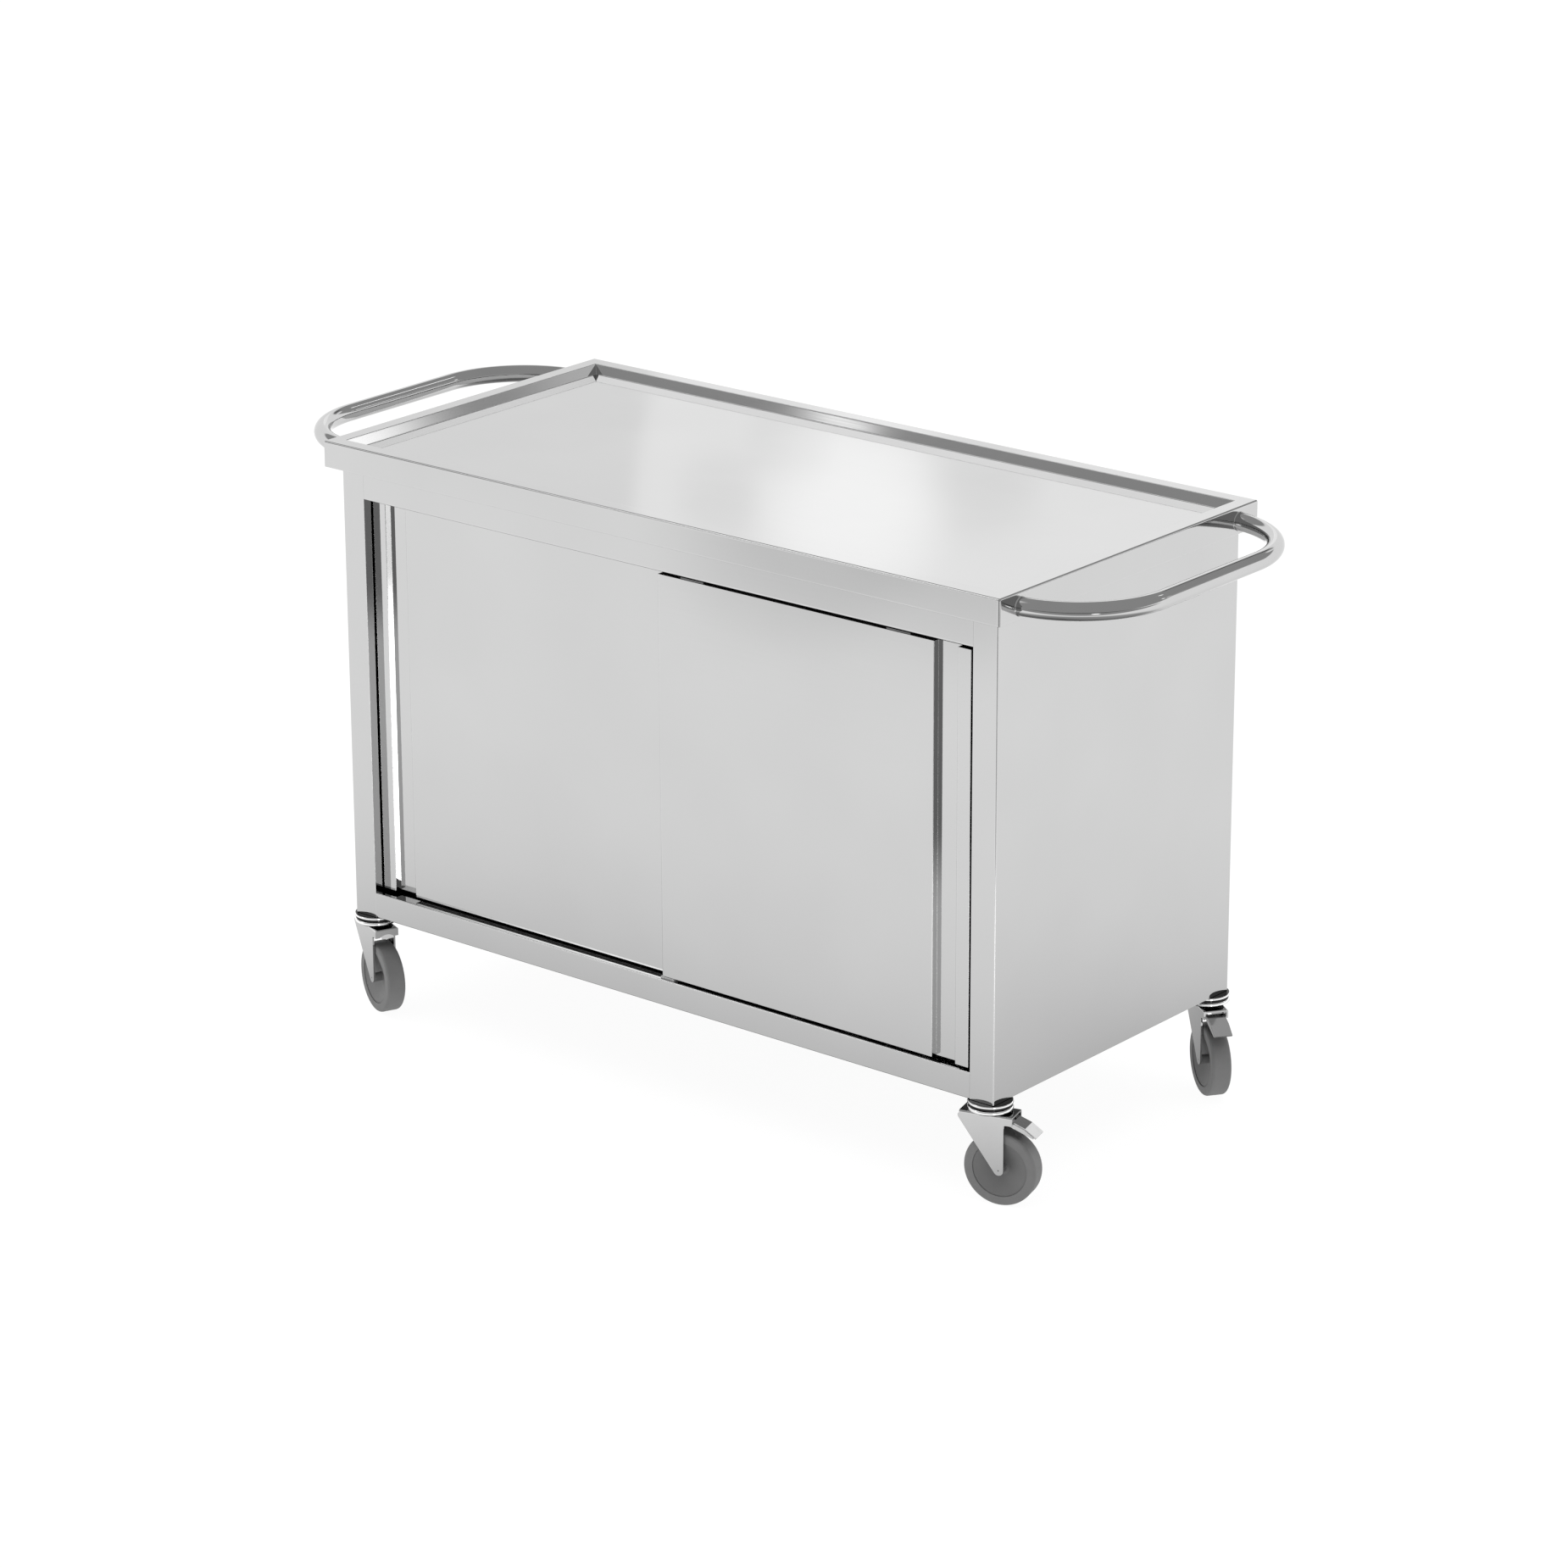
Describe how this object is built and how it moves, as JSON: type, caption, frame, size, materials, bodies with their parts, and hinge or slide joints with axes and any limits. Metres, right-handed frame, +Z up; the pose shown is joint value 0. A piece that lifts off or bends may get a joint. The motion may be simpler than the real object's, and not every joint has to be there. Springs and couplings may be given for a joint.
{
  "type": "enclosed service trolley",
  "caption": "Enclosed steel service trolley with a sunk tray top, push handles at both ends, overlapping sliding doors over a shelved cabinet and braked swivel casters.",
  "frame": {"origin": "on the floor under the middle of the trolley", "axes": "+X along the length toward the end with the brakes, +Y to the closed back, +Z up; doors face -Y"},
  "size_m": [1.4754, 0.5802, 0.86],
  "materials": {
    "brushed_steel": "fine brushed stainless sheet",
    "polished_tube": "polished stainless tube",
    "zinc_steel": "bright zinc plated",
    "tyre_grey": "grey non-marking rubber",
    "hub_plastic": "satin moulded",
    "track_aluminium": "plain extruded",
    "guide_nylon": "natural nylon",
    "black_rubber": "matt black"
  },
  "bodies": {
    "cabinet": {"top_tray": "brushed_steel", "deck_stiffeners": "brushed_steel", "handle_right": "polished_tube", "handle_left": "polished_tube", "side_panel_right": "brushed_steel", "side_panel_left": "brushed_steel", "back_panel": "brushed_steel", "floor_panel": "brushed_steel", "top_rail": "brushed_steel", "bottom_rail": "brushed_steel", "mid_shelf": "brushed_steel", "shelf_brackets": "brushed_steel", "door_track": "track_aluminium", "door_stops": "black_rubber", "door_guide": "guide_nylon", "caster_plates": "zinc_steel", "caster_bolts": "zinc_steel", "upper_races": "zinc_steel"},
    "right_door": {"right_door_front": "brushed_steel", "right_door_back": "brushed_steel", "right_door_top_bar": "brushed_steel", "right_door_guide_channel": "guide_nylon", "right_door_hangers": "zinc_steel"},
    "right_door_inner_roller": {"right_door_inner_roller": "guide_nylon"},
    "right_door_outer_roller": {"right_door_outer_roller": "guide_nylon"},
    "left_door": {"left_door_front": "brushed_steel", "left_door_back": "brushed_steel", "left_door_top_bar": "brushed_steel", "left_door_guide_channel": "guide_nylon", "left_door_hangers": "zinc_steel"},
    "left_door_inner_roller": {"left_door_inner_roller": "guide_nylon"},
    "left_door_outer_roller": {"left_door_outer_roller": "guide_nylon"},
    "swivel_front_right": {"fork_front_right": "zinc_steel", "lower_race_front_right": "zinc_steel", "axle_front_right": "zinc_steel", "pedal_pin_front_right": "zinc_steel"},
    "wheel_front_right": {"tyre_front_right": "tyre_grey", "hub_front_right": "hub_plastic"},
    "brake_front_right": {"pedal_front_right": "zinc_steel", "brake_pad_front_right": "black_rubber"},
    "swivel_front_left": {"fork_front_left": "zinc_steel", "lower_race_front_left": "zinc_steel", "axle_front_left": "zinc_steel"},
    "wheel_front_left": {"tyre_front_left": "tyre_grey", "hub_front_left": "hub_plastic"},
    "swivel_rear_right": {"fork_rear_right": "zinc_steel", "lower_race_rear_right": "zinc_steel", "axle_rear_right": "zinc_steel", "pedal_pin_rear_right": "zinc_steel"},
    "wheel_rear_right": {"tyre_rear_right": "tyre_grey", "hub_rear_right": "hub_plastic"},
    "brake_rear_right": {"pedal_rear_right": "zinc_steel", "brake_pad_rear_right": "black_rubber"},
    "swivel_rear_left": {"fork_rear_left": "zinc_steel", "lower_race_rear_left": "zinc_steel", "axle_rear_left": "zinc_steel"},
    "wheel_rear_left": {"tyre_rear_left": "tyre_grey", "hub_rear_left": "hub_plastic"}
  },
  "joints": [
    {"name": "right_door_slide", "type": "slide", "parent": "cabinet", "child": "right_door", "axis": [-1, 0, 0], "range_m": [0, 0.46]},
    {"name": "right_door_inner_roller_spin", "type": "hinge", "parent": "right_door", "child": "right_door_inner_roller", "pos_m": [0.0625, -0.262, 0.8238], "axis": [0, -1, 0], "continuous": true},
    {"name": "right_door_outer_roller_spin", "type": "hinge", "parent": "right_door", "child": "right_door_outer_roller", "pos_m": [0.417, -0.262, 0.8238], "axis": [0, -1, 0], "continuous": true},
    {"name": "left_door_slide", "type": "slide", "parent": "cabinet", "child": "left_door", "axis": [1, 0, 0], "range_m": [0, 0.46]},
    {"name": "left_door_inner_roller_spin", "type": "hinge", "parent": "left_door", "child": "left_door_inner_roller", "pos_m": [-0.038, -0.2485, 0.8238], "axis": [0, 1, 0], "continuous": true},
    {"name": "left_door_outer_roller_spin", "type": "hinge", "parent": "left_door", "child": "left_door_outer_roller", "pos_m": [-0.4185, -0.2485, 0.8238], "axis": [0, 1, 0], "continuous": true},
    {"name": "swivel_turn_front_right", "type": "hinge", "parent": "cabinet", "child": "swivel_front_right", "pos_m": [0.563, -0.2505, 0.128], "axis": [0, 0, 1], "continuous": true},
    {"name": "wheel_spin_front_right", "type": "hinge", "parent": "swivel_front_right", "child": "wheel_front_right", "pos_m": [0.58131, -0.24542, 0.052], "axis": [-0.2672, 0.9636, 0], "continuous": true},
    {"name": "brake_press_front_right", "type": "hinge", "parent": "swivel_front_right", "child": "brake_front_right", "pos_m": [0.59384, -0.24195, 0.121], "axis": [-0.2672, 0.9636, 0], "range_deg": [0, 13]},
    {"name": "swivel_turn_front_left", "type": "hinge", "parent": "cabinet", "child": "swivel_front_left", "pos_m": [-0.563, -0.2505, 0.128], "axis": [0, 0, 1], "continuous": true},
    {"name": "wheel_spin_front_left", "type": "hinge", "parent": "swivel_front_left", "child": "wheel_front_left", "pos_m": [-0.54555, -0.25801, 0.052], "axis": [0.3955, 0.9184, 0], "continuous": true},
    {"name": "swivel_turn_rear_right", "type": "hinge", "parent": "cabinet", "child": "swivel_rear_right", "pos_m": [0.563, 0.2505, 0.128], "axis": [0, 0, 1], "continuous": true},
    {"name": "wheel_spin_rear_right", "type": "hinge", "parent": "swivel_rear_right", "child": "wheel_rear_right", "pos_m": [0.57843, 0.23941, 0.052], "axis": [0.5835, 0.8121, 0], "continuous": true},
    {"name": "brake_press_rear_right", "type": "hinge", "parent": "swivel_rear_right", "child": "brake_rear_right", "pos_m": [0.58899, 0.23183, 0.121], "axis": [0.5835, 0.8121, 0], "range_deg": [0, 13]},
    {"name": "swivel_turn_rear_left", "type": "hinge", "parent": "cabinet", "child": "swivel_rear_left", "pos_m": [-0.563, 0.2505, 0.128], "axis": [0, 0, 1], "continuous": true},
    {"name": "wheel_spin_rear_left", "type": "hinge", "parent": "swivel_rear_left", "child": "wheel_rear_left", "pos_m": [-0.54578, 0.24247, 0.052], "axis": [0.4226, 0.9063, 0], "continuous": true}
  ],
  "couplings": [
    {"joint": "right_door_inner_roller_spin", "follows": "right_door_slide", "rad_per_m": 111.11},
    {"joint": "right_door_outer_roller_spin", "follows": "right_door_slide", "rad_per_m": 111.11},
    {"joint": "left_door_inner_roller_spin", "follows": "left_door_slide", "rad_per_m": 111.11},
    {"joint": "left_door_outer_roller_spin", "follows": "left_door_slide", "rad_per_m": 111.11}
  ]
}
